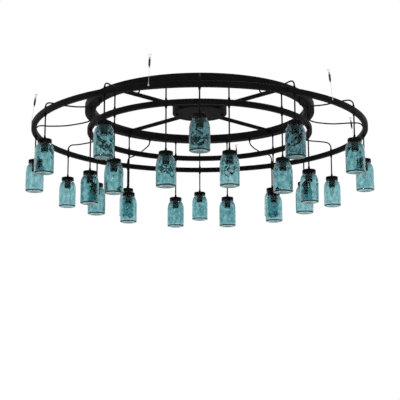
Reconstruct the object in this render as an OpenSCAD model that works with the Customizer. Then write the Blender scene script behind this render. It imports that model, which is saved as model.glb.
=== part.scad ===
// Three-ring ceiling chandelier with glass jar pendants.
// Millimetres, +Z up. The origin is the middle of the ceiling bar's upper face.
// Angles run from the side that faces the viewer (-Y) towards +X.

/* [Ceiling canopy] */
// Outer radius of the round canopy
canopy_r = 150; // [130:1:180]
// Sheet thickness of the canopy
canopy_wall = 1.6; // [1.2:0.1:2.5]
// Canopy depth below the support arms
canopy_margin = 5.5; // [4:0.5:15]
// Radius of the canopy's lower edge
canopy_edge_r = 3; // [2:0.5:4]
// Distance of each canopy stud from the middle
stud_x = 125; // [100:1:128]
// Thread radius of the canopy studs
stud_r = 2.5; // [2:0.1:3.5]
// Radius of the knobs that hold the canopy
knob_r = 6.5; // [5:0.5:10]
// Height of those knobs
knob_h = 9; // [7:0.5:14]

/* [Ceiling bar] */
// Width of the ceiling bar
bar_w = 28; // [26:1:40]
// Thickness of the ceiling bar
bar_t = 3; // [2:0.5:5]
// Bar left beyond each stud
bar_end = 9; // [6:1:12]
// Distance between the two outlet box screws
box_screw_spacing = 88.9; // [70:0.1:110]
// Radius of the outlet box screw holes
box_screw_r = 2.4; // [2:0.1:3]
// Radius of the supply wire hole
wire_hole_r = 10; // [8:1:12]

/* [Ceiling ring] */
// Radial width of the ceiling ring
ceiling_ring_w = 56.5; // [40:0.5:70]
// Height of the ceiling ring
ceiling_ring_h = 41.5; // [30:0.5:50]
// Sheet thickness of the ceiling ring
ceiling_ring_wall = 2; // [1.5:0.1:3]
// Gap between the ceiling and the ceiling ring
ceiling_ring_drop = 12.5; // [8:0.5:25]

/* [Support arms] */
// Side of the square arm tubes
arm_side = 18; // [14:1:20]
// Wall of the arm tubes
arm_wall = 1.5; // [1:0.1:2.5]
// Arm top below the ceiling ring's upper edge
arm_inset = 10; // [4:0.5:12]
// Radius of the wire holes at the arm ends
arm_hole_r = 5; // [4:0.5:6]

/* [Hanging rings] */
// Outer radius of the outer ring
outer_ring_r = 916.5; // [880:0.5:1000]
// Outer radius of the inner ring
inner_ring_r = 616.5; // [560:0.5:640]
// Side of the square ring tube
ring_tube = 27; // [20:0.5:30]
// Wall of the ring tube
ring_wall = 1.5; // [1:0.1:2.5]
// Ceiling to the outer ring's underside
outer_ring_drop = 171; // [150:1:220]
// Ceiling to the inner ring's underside
inner_ring_drop = 167; // [130:1:220]
// Turn of the inner ring's pendants from midway between the outer ones
inner_ring_turn = -1; // [-5:0.5:5]

/* [Cords and cord grips] */
// Radius of the round cord
cord_r = 3.8; // [2.5:0.1:4]
// Length of each tapered cord grip
grip_h = 15; // [10:1:20]
// Radius of a grip at its flange
grip_flange_r = 7.5; // [6:0.5:9]
// Radius of a grip at its tip
grip_tip_r = 4.8; // [4.2:0.1:5.2]
// Radius of the grip's threaded neck in the metal
grip_neck_r = 5.2; // [4.5:0.1:5.8]

/* [Suspension cables] */
// Radius of the wire cable
cable_r = 0.8; // [0.6:0.1:1.2]
// Radius of the cable gripper's barrel
gripper_r = 5; // [4:0.5:7]
// Length of the cable gripper
gripper_h = 52; // [44:1:65]
// Height of the ceiling coupler over the gripper
coupler_h = 17; // [14:1:25]
// Radius of the coupler's ceiling flange
coupler_r = 9; // [7:0.5:14]
// Distance of each coupler inside the outer ring's outer face
coupler_inset = 16.5; // [8:0.5:18]
// Radius of the coupler's screw hole
coupler_hole_r = 2.5; // [2:0.1:3]
// Depth of the coupler's screw hole
coupler_hole_h = 10; // [6:1:12]
// Radius of the crimped sleeve on the cable's end
sleeve_r = 1.7; // [1.5:0.1:2.5]
// Radius of the cable's eye
eye_r = 4.5; // [4:0.1:6]
// Thickness of the cable's eye
eye_t = 1.5; // [1:0.1:2]
// Thickness of the spacer between the sleeve's line and the ring
eye_spacer = 1.6; // [1.4:0.1:2.5]
// Radius of the eye's screw
eye_screw_r = 1.5; // [1:0.1:1.8]
// Radius of the eye screw's head
eye_head_r = 2.8; // [2.4:0.1:3.4]

/* [Pendants] */
// Outer ring's underside to the top of a jar cap
outer_pendant_drop = 132; // [90:1:200]
// Inner ring's underside to the top of a jar cap
inner_pendant_drop = 233; // [150:1:300]
// Height of a jar with its cap
jar_h = 176.5; // [160:0.5:200]
// Outer radius of the jar
jar_r = 49.3; // [46:0.1:55]
// Wall of the jar
jar_wall = 3; // [2.5:0.1:4]
// Outer radius of the jar's neck below the cap
jar_neck_r = 35.5; // [34:0.1:38]
// Height of the jar's neck below the cap
jar_neck_h = 9; // [6:0.5:16]
// Height of the jar's shoulder
jar_shoulder_h = 46; // [36:1:60]
// Radius of the jar's lower corner
jar_corner_r = 7; // [5:0.5:10]
// Thickness of the jar's base
jar_base = 5; // [4:0.5:8]
// Outer radius of the jar cap
cap_r = 36.5; // [34:0.1:37.5]
// Height of the jar cap
cap_h = 20; // [15:0.5:24]
// Sheet thickness of the jar cap
cap_wall = 1.2; // [0.8:0.1:1.5]
// Radius of the lamp socket
socket_r = 18; // [14:0.5:19]
// Lower end of the socket below the cap's top
socket_drop = 65; // [58:1:75]
// Length of the strain relief on the cap
relief_h = 18; // [12:1:25]
// Radius of the strain relief at the cap
relief_r = 8; // [6:0.5:10]
// Greatest radius of the lamp
bulb_r = 14; // [11:0.5:17]
// Length of the lamp below the socket
bulb_h = 40; // [32:1:75]

/* [Hidden] */
$fn = 96;
ring_fn = 180;
outer_count = 12;
inner_count = 12;
cable_count = 6;
arm_count = 4;
outer_step = 360 / outer_count;
inner_step = 360 / inner_count;
inner_first = inner_step / 2 + inner_ring_turn;
cable_first = 45;
cable_step = 360 / cable_count;
arm_first = 45;
arm_step = 360 / arm_count;

// Clearances between pieces
seat_gap = 0.1;
thread_gap = 0.3;
swing_gap = 0.3;
hole_gap = 0.2;
cut = 1;

ring_mid = ring_tube / 2;
outer_mid_r = outer_ring_r - ring_mid;
inner_mid_r = inner_ring_r - ring_mid;
ceiling_ring_r = inner_mid_r + ceiling_ring_w / 2;
ceiling_ring_in = inner_mid_r - ceiling_ring_w / 2;
ceiling_ring_low = -ceiling_ring_drop - ceiling_ring_h;
arm_top = -ceiling_ring_drop - arm_inset;
arm_mid = arm_top - arm_side / 2;
canopy_h = -arm_top + arm_side + canopy_margin;
outer_ring_low = -outer_ring_drop;
inner_ring_low = -inner_ring_drop;
cable_hang_r = outer_ring_r + sleeve_r + seat_gap + eye_spacer;
coupler_place_r = outer_ring_r - coupler_inset;
eye_z = outer_ring_low + ring_mid;
cable_lean = atan2(cable_hang_r - coupler_place_r, -eye_z);
cable_reach = norm([cable_hang_r - coupler_place_r, eye_z]);
gripper_low = -coupler_h - seat_gap - gripper_h;
neck_seat = 3;
rim_bevel_w = 1.2;
rim_bevel_h = 2;
shoulder_drop = 2;
shoulder_steps = 8;

// Free cords from the ceiling ring to the outer ring: [share of the way out, share of the way down]
slack_low = [
    [0, 0], [0.01, 0.155], [0.037, 0.27], [0.09, 0.355], [0.19, 0.47], [0.45, 0.67],
    [0.75, 0.71], [0.9, 0.66], [0.96, 0.71], [0.99, 0.835], [1, 1]
];
slack_high = [
    [0, 0], [0.01, 0.155], [0.037, 0.27], [0.09, 0.355], [0.19, 0.46], [0.45, 0.56],
    [0.757, 0.484], [0.92, 0.5], [0.982, 0.7], [1, 1]
];
supply_top = ceiling_ring_low - grip_h;
supply_low = outer_ring_low + ring_tube + grip_h;
cord_sides = 8;

function two_digits(i) = str(i < 10 ? "0" : "", i);
function numbered(stem, count) = [for (i = [1:count]) str(stem, two_digits(i))];
outer_jars = numbered("outer_jar_", outer_count);
outer_holders = numbered("outer_lampholder_", outer_count);
inner_jars = numbered("inner_jar_", inner_count);
inner_holders = numbered("inner_lampholder_", inner_count);
frame_nodes = [
    "ceiling_bar", "canopy", "canopy_knobs", "support_arms", "ceiling_ring", "inner_ring",
    "outer_ring", "cord_grips", "supply_cords", "inner_ring_cords", "cable_grippers",
    "suspension_cables"
];

// Puts a piece on a circle around the middle
module around(angle, radius) {
    rotate([0, 0, angle])
        translate([0, -radius, 0])
            children();
}

// Repeats a piece at even steps around the middle
module all_around(count, first, step, radius) {
    for (i = [0:count - 1])
        around(first + i * step, radius)
            children();
}

// Points of a quarter circle, from one angle to another
function arc(centre, radius, from, to, steps = 8) =
    [for (i = [0:steps])
        let (a = from + (to - from) * i / steps)
            centre + radius * [cos(a), sin(a)]];

module ceiling_bar() {
    bar_l = 2 * (stud_x + bar_end);
    color("silver") {
        difference() {
            translate([-bar_l / 2, -bar_w / 2, -bar_t])
                cube([bar_l, bar_w, bar_t]);
            translate([0, 0, -bar_t - cut])
                cylinder(r = wire_hole_r, h = bar_t + 2 * cut);
            for (side = [-1, 1])
                translate([side * box_screw_spacing / 2, 0, -bar_t - cut])
                    cylinder(r = box_screw_r, h = bar_t + 2 * cut);
        }
        for (side = [-1, 1])
            translate([side * stud_x, 0, -canopy_h - knob_h / 2])
                cylinder(r = stud_r, h = canopy_h + knob_h / 2 - bar_t / 2);
    }
}

module canopy_profile(r, depth, edge) {
    polygon(concat([[0, 0], [0, -depth]], arc([r - edge, edge - depth], edge, -90, 0), [[r, 0]]));
}

module canopy() {
    inner_depth = canopy_h - canopy_wall;
    inner_edge = canopy_edge_r - canopy_wall / 2;
    color("#1c1b1b")
        difference() {
            rotate_extrude($fn = ring_fn)
                canopy_profile(canopy_r, canopy_h, canopy_edge_r);
            translate([0, 0, cut])
                rotate_extrude($fn = ring_fn)
                    canopy_profile(canopy_r - canopy_wall, inner_depth + cut, inner_edge);
            for (side = [-1, 1])
                translate([side * stud_x, 0, -canopy_h - cut])
                    cylinder(r = stud_r + hole_gap, h = canopy_wall + 2 * cut);
            all_around(arm_count, arm_first, arm_step, canopy_r - canopy_wall / 2)
                translate([0, 0, arm_mid])
                    rotate([90, 0, 0])
                        cylinder(r = arm_hole_r, h = 4 * canopy_wall, center = true);
        }
}

module canopy_knobs() {
    knob_round = knob_r / 2;
    color("#1c1b1b")
        for (side = [-1, 1])
            translate([side * stud_x, 0, -canopy_h - seat_gap])
                difference() {
                    rotate_extrude()
                        polygon(concat(
                            [[0, 0], [0, -knob_h]],
                            arc([knob_r - knob_round, knob_round - knob_h], knob_round, -90, 0),
                            [[knob_r, 0]]
                        ));
                    translate([0, 0, -knob_h / 2 - cut])
                        cylinder(r = stud_r + seat_gap, h = knob_h / 2 + 2 * cut);
                }
}

module support_arms() {
    reach = ceiling_ring_in - seat_gap;
    inside = arm_side - 2 * arm_wall;
    color("#1c1b1b")
        all_around(arm_count, arm_first, arm_step, 0)
            intersection() {
                difference() {
                    translate([-arm_side / 2, -ceiling_ring_r, arm_mid - arm_side / 2])
                        cube([arm_side, ceiling_ring_r, arm_side]);
                    translate([-inside / 2, -ceiling_ring_r - cut, arm_mid - inside / 2])
                        cube([inside, ceiling_ring_r + 2 * cut, inside]);
                    translate([0, 0, arm_mid - arm_side])
                        cylinder(r = canopy_r + seat_gap, h = 2 * arm_side, $fn = ring_fn);
                }
                translate([0, 0, arm_mid - arm_side])
                    cylinder(r = reach, h = 2 * arm_side, $fn = ring_fn);
            }
}

module ceiling_ring() {
    color("#1c1b1b")
        difference() {
            rotate_extrude($fn = ring_fn)
                translate([ceiling_ring_in, ceiling_ring_low])
                    difference() {
                        square([ceiling_ring_w, ceiling_ring_h]);
                        translate([ceiling_ring_wall, ceiling_ring_wall])
                            square([ceiling_ring_w - 2 * ceiling_ring_wall, ceiling_ring_h]);
                    }
            ceiling_ring_places()
                translate([0, 0, ceiling_ring_low - cut])
                    cylinder(r = grip_neck_r + hole_gap, h = ceiling_ring_wall + 2 * cut);
            all_around(arm_count, arm_first, arm_step, ceiling_ring_in + ceiling_ring_wall / 2)
                translate([0, 0, arm_mid])
                    rotate([90, 0, 0])
                        cylinder(r = arm_hole_r, h = 3 * ceiling_ring_wall, center = true);
        }
}

// Every place where a cord leaves the ceiling ring
module ceiling_ring_places() {
    all_around(outer_count, 0, outer_step, inner_mid_r)
        children();
    all_around(inner_count, inner_first, inner_step, inner_mid_r)
        children();
}

// Square tube bent to a ring, with its lower face at the height given
module tube_ring(r, low) {
    rotate_extrude($fn = ring_fn)
        translate([r - ring_tube, low])
            difference() {
                square(ring_tube);
                translate([ring_wall, ring_wall])
                    square(ring_tube - 2 * ring_wall);
            }
}

module grip_holes(count, first, step, r, low) {
    all_around(count, first, step, r)
        translate([0, 0, low - cut])
            cylinder(r = grip_neck_r + hole_gap, h = ring_tube + 2 * cut);
}

module inner_ring() {
    color("#1c1b1b")
        difference() {
            tube_ring(inner_ring_r, inner_ring_low);
            grip_holes(inner_count, inner_first, inner_step, inner_mid_r, inner_ring_low);
        }
}

module outer_ring() {
    color("#1c1b1b")
        difference() {
            tube_ring(outer_ring_r, outer_ring_low);
            grip_holes(outer_count, 0, outer_step, outer_mid_r, outer_ring_low);
            all_around(cable_count, cable_first, cable_step, outer_ring_r - ring_wall / 2)
                translate([0, 0, eye_z])
                    rotate([90, 0, 0])
                        cylinder(r = eye_screw_r + seat_gap, h = 3 * ring_wall, center = true);
        }
}

// Tapered grip under a sheet whose lower face is at z = 0, with its lock ring above
module sheet_grip(sheet) {
    rotate_extrude()
        polygon([
            [0, sheet + neck_seat], [grip_flange_r, sheet + neck_seat],
            [grip_flange_r, sheet + seat_gap], [grip_neck_r, sheet + seat_gap],
            [grip_neck_r, -seat_gap], [grip_flange_r, -seat_gap],
            [grip_flange_r, -neck_seat], [grip_tip_r, -grip_h], [0, -grip_h]
        ]);
}

// Grip that runs through a ring tube whose lower face is at z = 0, with a taper at both ends
module tube_grip() {
    top = ring_tube;
    rotate_extrude()
        polygon([
            [0, top + grip_h], [grip_tip_r, top + grip_h], [grip_flange_r, top + neck_seat],
            [grip_flange_r, top + seat_gap], [grip_neck_r, top + seat_gap],
            [grip_neck_r, -seat_gap], [grip_flange_r, -seat_gap],
            [grip_flange_r, -neck_seat], [grip_tip_r, -grip_h], [0, -grip_h]
        ]);
}

module cord_grips() {
    color("#141414") {
        ceiling_ring_places()
            translate([0, 0, ceiling_ring_low])
                sheet_grip(ceiling_ring_wall);
        all_around(outer_count, 0, outer_step, outer_mid_r)
            translate([0, 0, outer_ring_low])
                tube_grip();
        all_around(inner_count, inner_first, inner_step, inner_mid_r)
            translate([0, 0, inner_ring_low])
                tube_grip();
    }
}

// Places of a free cord's points, [distance from the middle, height]
function supply_route(shares) =
    [for (p = shares)
        [inner_mid_r + p[0] * (outer_mid_r - inner_mid_r), supply_top + p[1] * (supply_low - supply_top)]];

// Direction of a route at one of its points, upright at both ends
function heading(route, i) =
    i == 0 || i == len(route) - 1 ? [0, -1] :
    (route[i + 1] - route[i - 1]) / norm(route[i + 1] - route[i - 1]);

// Ring of points around a route in the plane x = 0, where the route runs towards -Y
function cord_ring(route, i) =
    let (h = heading(route, i), at = route[i])
        [for (k = [0:cord_sides - 1])
            let (a = 360 * (k + 0.5) / cord_sides, u = cord_r * cos(a), v = cord_r * sin(a))
                [u, -at[0] + v * h[1], at[1] + v * h[0]]];

module swept_cord(route) {
    last = len(route) - 1;
    points = [for (i = [0:last]) each cord_ring(route, i)];
    sides = [for (i = [0:last - 1], k = [0:cord_sides - 1])
        let (a = i * cord_sides + k, b = i * cord_sides + (k + 1) % cord_sides)
            each [[a, a + cord_sides, b], [b, a + cord_sides, b + cord_sides]]];
    first_end = [for (k = [1:cord_sides - 2]) [0, k, k + 1]];
    base = last * cord_sides;
    last_end = [for (k = [1:cord_sides - 2]) [base, base + k + 1, base + k]];
    polyhedron(points = points, faces = concat(sides, first_end, last_end));
}

module supply_cords() {
    color("#252323")
        for (i = [0:outer_count - 1])
            rotate([0, 0, i * outer_step])
                swept_cord(supply_route(i > 0 && i < outer_count / 2 ? slack_high : slack_low));
}

module inner_ring_cords() {
    top = ceiling_ring_low - grip_h - seat_gap;
    low = inner_ring_low + ring_tube + grip_h + seat_gap;
    color("#252323")
        all_around(inner_count, inner_first, inner_step, inner_mid_r)
            translate([0, 0, low])
                cylinder(r = cord_r, h = top - low);
}

// Leans a piece with its cable, which runs down and outwards from the ceiling to the ring
module leaning() {
    rotate([-cable_lean, 0, 0])
        children();
}

// Ceiling flange with a round barrel that leans with the cable
module ceiling_coupler() {
    flange = 3;
    barrel_top = 2;
    difference() {
        union() {
            rotate_extrude()
                polygon([
                    [0, 0], [coupler_r, 0], [coupler_r, -flange], [gripper_r + 1, -flange - 1],
                    [0, -flange - 1]
                ]);
            leaning()
                translate([0, 0, -coupler_h])
                    cylinder(r = gripper_r, h = coupler_h - barrel_top);
        }
        translate([0, 0, -coupler_hole_h])
            cylinder(r = coupler_hole_r, h = coupler_hole_h + cut);
    }
}

module cable_gripper() {
    top_neck = 6;
    nose = 12;
    slope = 2;
    neck_r = gripper_r * 0.75;
    nose_r = gripper_r * 0.5;
    difference() {
        translate([0, 0, -coupler_h - seat_gap])
            rotate_extrude()
                polygon([
                    [0, 0], [neck_r, 0], [neck_r, -top_neck], [gripper_r, -top_neck - slope],
                    [gripper_r, nose - gripper_h], [nose_r, -gripper_h], [0, -gripper_h]
                ]);
        translate([0, 0, gripper_low - cut])
            cylinder(r = cable_r + seat_gap, h = gripper_h - top_neck + cut);
    }
}

module cable_grippers() {
    all_around(cable_count, cable_first, cable_step, coupler_place_r) {
        color("#d8d6d2")
            ceiling_coupler();
        color("#5a4238")
            leaning()
                cable_gripper();
    }
}

// Crimped sleeve and cable, up into the gripper
module leaning_cable() {
    sleeve_h = 10;
    sleeve_low = eye_r - 1 - cable_reach;
    cable_top = -coupler_h - gripper_h / 2;
    leaning() {
        translate([0, 0, sleeve_low])
            cylinder(r = sleeve_r, h = sleeve_h);
        translate([0, 0, sleeve_low + sleeve_h / 2])
            cylinder(r = cable_r, h = cable_top - sleeve_low - sleeve_h / 2);
    }
}

// Eye against the ring's outer face, with its spacer and screw
module cable_eye() {
    head_t = 1.6;
    thread_end = 2;
    stand_off = sleeve_r + eye_spacer;
    shank = stand_off + seat_gap + ring_wall + thread_end;
    rotate([90, 0, 0]) {
        translate([0, 0, -eye_t])
            cylinder(r = eye_r, h = eye_t);
        translate([0, 0, -stand_off])
            cylinder(r = eye_head_r, h = stand_off + head_t);
        translate([0, 0, -shank])
            cylinder(r = eye_screw_r, h = shank - eye_t / 4);
    }
}

module suspension_cables() {
    color("#b9bcbe") {
        all_around(cable_count, cable_first, cable_step, coupler_place_r)
            leaning_cable();
        all_around(cable_count, cable_first, cable_step, cable_hang_r)
            translate([0, 0, eye_z])
                cable_eye();
    }
}

// Quarter ellipse of the shoulder, from the neck out to the body
function shoulder_line(neck_r, body_r, top) =
    [for (i = [0:shoulder_steps])
        let (a = 90 * i / shoulder_steps)
            [neck_r + (body_r - neck_r) * sin(a), top - jar_shoulder_h * (1 - cos(a))]];

// Outline of the jar's outside, from its rim down to the middle of its base
function jar_outside() =
    let (
        rim_r = cap_r - cap_wall - thread_gap,
        rim = -cap_wall - seat_gap,
        neck = -cap_h - seat_gap,
        low = -jar_h
    )
        concat(
            [[0, rim], [rim_r - rim_bevel_w, rim], [rim_r, rim - rim_bevel_h]],
            [[rim_r, neck], [jar_neck_r, neck]],
            shoulder_line(jar_neck_r, jar_r, neck - jar_neck_h),
            [[jar_r, neck - jar_neck_h - jar_shoulder_h - shoulder_drop]],
            arc([jar_r - jar_corner_r, low + jar_corner_r], jar_corner_r, 0, -90),
            [[0, low]]
        );

// Outline of the jar's hollow, from above its rim down to the middle of its floor
function jar_inside() =
    let (
        mouth_r = cap_r - cap_wall - thread_gap - jar_wall,
        neck_r = min(jar_neck_r - jar_wall, mouth_r),
        neck = -cap_h - seat_gap - jar_neck_h,
        inner_r = jar_r - jar_wall,
        corner = jar_corner_r - jar_wall / 2,
        floor_z = -jar_h + jar_base
    )
        concat(
            [[0, cut], [mouth_r, cut], [mouth_r, -cap_h]],
            shoulder_line(neck_r, inner_r, neck),
            arc([inner_r - corner, floor_z + corner], corner, 0, -90),
            [[0, floor_z]]
        );

// Jar with the top of its cap at z = 0
module jar() {
    color("#6fa9ab", 0.5)
        difference() {
            rotate_extrude()
                polygon(jar_outside());
            rotate_extrude()
                polygon(jar_inside());
        }
}

// Sheet cap with a rounded upper edge and a slightly flared skirt
module jar_cap() {
    inner_r = cap_r - cap_wall;
    lip = 3;
    flare = 0.5;
    color("#161616")
        difference() {
            rotate_extrude()
                polygon(concat(
                    [[0, 0]], arc([cap_r - lip - flare, -lip], lip, 90, 0, 5),
                    [[cap_r - flare, -cap_h / 2], [cap_r, -cap_h + lip], [cap_r, -cap_h], [0, -cap_h]]
                ));
            translate([0, 0, -cap_h - cut])
                cylinder(r = inner_r, h = cap_h + cut - cap_wall);
        }
}

// Everything that a pendant's cord carries, with the top of the cap at z = 0
module lampholder(drop) {
    bulb_neck_r = bulb_r * 0.8;
    bulb_neck_h = bulb_h / 6;
    jar_cap();
    color("#141414") {
        translate([0, 0, seat_gap])
            cylinder(r1 = relief_r, r2 = grip_tip_r, h = relief_h);
        translate([0, 0, -socket_drop])
            cylinder(r = socket_r, h = socket_drop - cap_wall - seat_gap);
    }
    color("#252323") {
        translate([0, 0, relief_h + 2 * seat_gap])
            cylinder(r = cord_r, h = drop - relief_h - 2 * seat_gap);
        translate([0, 0, drop])
            sphere(r = cord_r);
    }
    color("#cfd8d8", 0.5)
        translate([0, 0, -socket_drop - seat_gap])
            rotate_extrude()
                polygon(concat(
                    [[0, 0], [bulb_neck_r, 0], [bulb_neck_r, -bulb_neck_h]],
                    arc([0, bulb_r - bulb_h], bulb_r, 0, -90)
                ));
}

// Height of a pendant's pivot over the top of its cap
function pivot_rise(drop) = drop - grip_h - swing_gap - cord_r;

module outer_place(i) {
    around(i * outer_step, outer_mid_r)
        translate([0, 0, outer_ring_low - outer_pendant_drop])
            children();
}

module inner_place(i) {
    around(inner_first + i * inner_step, inner_mid_r)
        translate([0, 0, inner_ring_low - inner_pendant_drop])
            children();
}

ceiling_bar();
canopy();
canopy_knobs();
support_arms();
ceiling_ring();
inner_ring();
outer_ring();
cord_grips();
supply_cords();
inner_ring_cords();
cable_grippers();
suspension_cables();
for (i = [0:outer_count - 1]) {
    outer_place(i) jar();
    outer_place(i) lampholder(pivot_rise(outer_pendant_drop));
}
for (i = [0:inner_count - 1]) {
    inner_place(i) jar();
    inner_place(i) lampholder(pivot_rise(inner_pendant_drop));
}
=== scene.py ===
import math

import bpy
import numpy as np
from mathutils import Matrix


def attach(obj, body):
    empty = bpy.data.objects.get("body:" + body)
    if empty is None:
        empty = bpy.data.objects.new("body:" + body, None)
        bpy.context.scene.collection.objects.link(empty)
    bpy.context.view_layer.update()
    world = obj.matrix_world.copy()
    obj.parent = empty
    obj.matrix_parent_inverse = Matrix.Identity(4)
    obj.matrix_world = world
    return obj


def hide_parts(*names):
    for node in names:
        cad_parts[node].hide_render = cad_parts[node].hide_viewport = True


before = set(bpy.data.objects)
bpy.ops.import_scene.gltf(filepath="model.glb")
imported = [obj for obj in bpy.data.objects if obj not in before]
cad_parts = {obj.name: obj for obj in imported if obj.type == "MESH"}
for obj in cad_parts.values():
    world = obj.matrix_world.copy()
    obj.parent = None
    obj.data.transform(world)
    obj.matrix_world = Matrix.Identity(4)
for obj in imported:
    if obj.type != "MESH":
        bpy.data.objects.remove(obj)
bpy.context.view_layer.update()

mm = 0.001
fullTurn = 2 * math.pi

# Places of the pendants, as in the CAD source. Angles run from the viewer's side (-Y) towards +X.
rings = {
    "outer": {"first": 0, "step": 30, "radius": 903, "capTop": -303, "pivot": -190.1},
    "inner": {"first": 14, "step": 30, "radius": 603, "capTop": -400, "pivot": -186.1},
}
pendantCount = 12
pendants = [(kind, i) for kind in rings for i in range(pendantCount)]


def turnOf(kind, i):
    # a pendant's place round its ring, in degrees
    return rings[kind]["first"] + rings[kind]["step"] * i


def pendantNames(kind, i):
    # a pendant's body, and its lampholder's and its jar's nodes
    return [f"{kind}_{what}_{i + 1:02d}" for what in ("pendant", "lampholder", "jar")]


# Camera
lens = {
    "at": (0, -5.402, -1.587),
    "pitch": 11.078,  # degrees up from level
    "turn": 0.020,  # degrees to the left
    "roll": 0.15,  # degrees clockwise
    "focal": 91.0,
}
eye = bpy.data.objects.new("camera", bpy.data.cameras.new("camera"))
bpy.context.scene.collection.objects.link(eye)
bpy.context.scene.camera = eye
eye.location = lens["at"]
eye.rotation_euler = [math.radians(angle) for angle in (90 + lens["pitch"], lens["roll"], lens["turn"])]
eye.data.lens = lens["focal"]
eye.data.sensor_width = 36
eye.data.clip_start, eye.data.clip_end = 0.05, 60


# Shapes
# A shape is (points in mm, faces of four corners, faces of three corners).
noTris = np.zeros((0, 3), int)


def arcOf(across, up, radius, start, end, steps):
    # (across + radius cos a, up + radius sin a), a from start to end in degrees
    a = np.radians(np.linspace(start, end, steps + 1))
    return np.stack([across + radius * np.cos(a), up + radius * np.sin(a)], 1)


def lineOf(*parts):
    return np.concatenate([np.atleast_2d(np.asarray(p, float)) for p in parts])


def wallOf(r, start, end, count):
    # an upright run of points in a profile
    return np.column_stack([np.full(count, r), np.linspace(start, end, count)])


def within(z, low, high, soft):
    # 1 between two heights, falling to 0 over that many mm inside each of them
    return np.clip((z - low) / soft, 0, 1) * np.clip((high - z) / soft, 0, 1)


def ripple(count, a):
    # that many crests in a turn, from 0 to 1
    return 0.5 + 0.5 * np.cos(count * a)


def flexGrooves(z, start, end, depth, share):
    # grooves 2.2 mm apart between two heights; share is half a groove's part of that distance
    return depth * (np.abs(((z - start) / 2.2) % 1 - 0.5) < share) * (z > start) * (z < end)


def gridFaces(rows, around, closed):
    # faces between each row of points and the next, and between the last and the first when closed
    index = np.arange(rows * around).reshape(rows, around)
    here = index if closed else index[:-1]
    there = np.roll(index, -1, 0) if closed else index[1:]
    return np.stack([here, np.roll(here, -1, 1), np.roll(there, -1, 1), there], 2).reshape(-1, 4)


def outward(shape):
    # a closed shape's signed volume is the sum of a . (b x c) / 6; if it is negative the faces are turned
    points, quads, tris = shape
    fan = np.concatenate([quads[:, [0, 1, 2]], quads[:, [0, 2, 3]], tris])
    a, b, c = (points[fan[:, i]] for i in range(3))
    if np.einsum("ij,ij->", a - points[0], np.cross(b - points[0], c - points[0])) < 0:
        return points, quads[:, ::-1], tris[:, ::-1]
    return shape


def withEnd(points, tris, start, count, end, last=False):
    # one end of a shape closed: its ring of points from start on is joined to the new point end
    ring = start + np.arange(count)
    after = np.roll(ring, -1)
    pole = np.full(count, len(points))
    corners = [ring, after, pole] if last else [pole, after, ring]
    return np.vstack([points, end]), np.concatenate([tris, np.stack(corners, 1)])


def lathe(profile, steps, closed=False, carve=None):
    # (r sin a, -r cos a, z) for every (r, z) of the profile; carve(r, z, a) may change r and z
    line = np.asarray(profile, float)
    first = not closed and line[0, 0] == 0
    last = not closed and line[-1, 0] == 0
    rows = line[int(first) : len(line) - int(last)]
    a = np.tile(np.arange(steps) * fullTurn / steps, (len(rows), 1))
    r, z = (np.repeat(rows[:, i : i + 1], steps, 1) for i in (0, 1))
    if carve:
        r, z = carve(r, z, a)
    points = np.stack([r * np.sin(a), -r * np.cos(a), z], 2).reshape(-1, 3)
    quads, tris = gridFaces(len(rows), steps, closed), noTris
    if first:
        points, tris = withEnd(points, tris, 0, steps, [0, 0, line[0, 1]])
    if last:
        points, tris = withEnd(points, tris, (len(rows) - 1) * steps, steps, [0, 0, line[-1, 1]], True)
    return outward((points, quads, tris))


def tubeAlong(path, radius, sides, closed=False):
    # a circle of that radius square to the path at each of its points, in a frame carried along it
    path = np.asarray(path, float)
    if closed:
        ahead = np.roll(path, -1, 0) - np.roll(path, 1, 0)
    else:
        ahead = np.gradient(path, axis=0)
    ahead /= np.linalg.norm(ahead, axis=1)[:, None]
    aside = np.cross(ahead, [0.31, 0.17, 0.93])
    flat = np.linalg.norm(aside, axis=1) < 0.05
    aside[flat] = np.cross(ahead[flat], [1, 0, 0])
    aside /= np.linalg.norm(aside, axis=1)[:, None]
    other = np.cross(ahead, aside)
    a = np.arange(sides) * fullTurn / sides
    size = np.broadcast_to(np.asarray(radius, float), (len(path),))[:, None, None]
    circle = aside[:, None] * np.cos(a)[:, None] + other[:, None] * np.sin(a)[:, None]
    points = (path[:, None] + size * circle).reshape(-1, 3)
    quads, tris = gridFaces(len(path), sides, closed), noTris
    if not closed:
        points, tris = withEnd(points, tris, 0, sides, path[0])
        points, tris = withEnd(points, tris, (len(path) - 1) * sides, sides, path[-1], True)
    return outward((points, quads, tris))


def moved(shape, turn, radius=0, height=0):
    # the shape put at a radius and height on the viewer's side, then turned about the middle
    points, quads, tris = shape
    a = math.radians(turn)
    spin = np.array([[math.cos(a), -math.sin(a), 0], [math.sin(a), math.cos(a), 0], [0, 0, 1]])
    return (points + [0, -radius, height]) @ spin.T, quads, tris


def hung(shape, kind, i):
    # the shape put at the top of a pendant's cap
    return moved(shape, turnOf(kind, i), rings[kind]["radius"], rings[kind]["capTop"])


def leaned(shape, degrees):
    # tipped about X at the ceiling, so that the shape's lower end swings out to the viewer's side
    points, quads, tris = shape
    a = math.radians(degrees)
    tip = np.array([[1, 0, 0], [0, math.cos(a), math.sin(a)], [0, -math.sin(a), math.cos(a)]])
    return points @ tip.T, quads, tris


def laidOut(shape):
    # turned a quarter about X: the shape's +Z comes to point at the viewer's side
    points, quads, tris = shape
    return points[:, [0, 2, 1]] * [1, -1, 1], quads, tris


def joined(*shapes):
    # several shapes as one; a pair (shape, number) gives its material slot
    pairs = [s if len(s) == 2 else (s, 0) for s in shapes]
    parts = [p[0] for p in pairs]
    offsets = np.cumsum([0] + [len(p[0]) for p in parts[:-1]])
    points = np.concatenate([p[0] for p in parts])
    quads, tris = (np.concatenate([p[kind] + o for p, o in zip(parts, offsets)]) for kind in (1, 2))
    slots = np.concatenate([np.full(len(shape[kind]), number) for kind in (1, 2) for shape, number in pairs])
    return points, quads, tris, slots


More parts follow.
